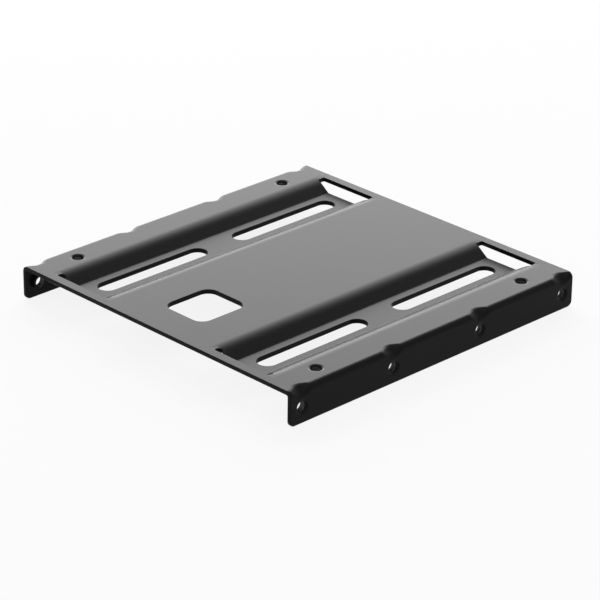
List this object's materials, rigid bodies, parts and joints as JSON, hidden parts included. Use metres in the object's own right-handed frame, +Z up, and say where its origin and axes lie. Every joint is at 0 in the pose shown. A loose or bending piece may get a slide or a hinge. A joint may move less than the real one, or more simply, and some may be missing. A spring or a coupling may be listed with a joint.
{
  "type": "drive bay adapter bracket",
  "caption": "Folded steel plate with low side flanges, pressed channels with long slots, a window and tapped holes, carrying a small drive in a larger drive bay.",
  "frame": {"origin": "centre of the bracket's footprint, at the level of the flanges' lower edges", "axes": "+X across the bracket towards its right flange, +Y from its front edge (with the window) to its back edge, +Z up through the plate"},
  "size_m": [0.1016, 0.1032, 0.0096],
  "materials": {
    "black_coat": "satin black coat"
  },
  "bodies": {
    "root": {"bracket": "black_coat"}
  },
  "joints": []
}
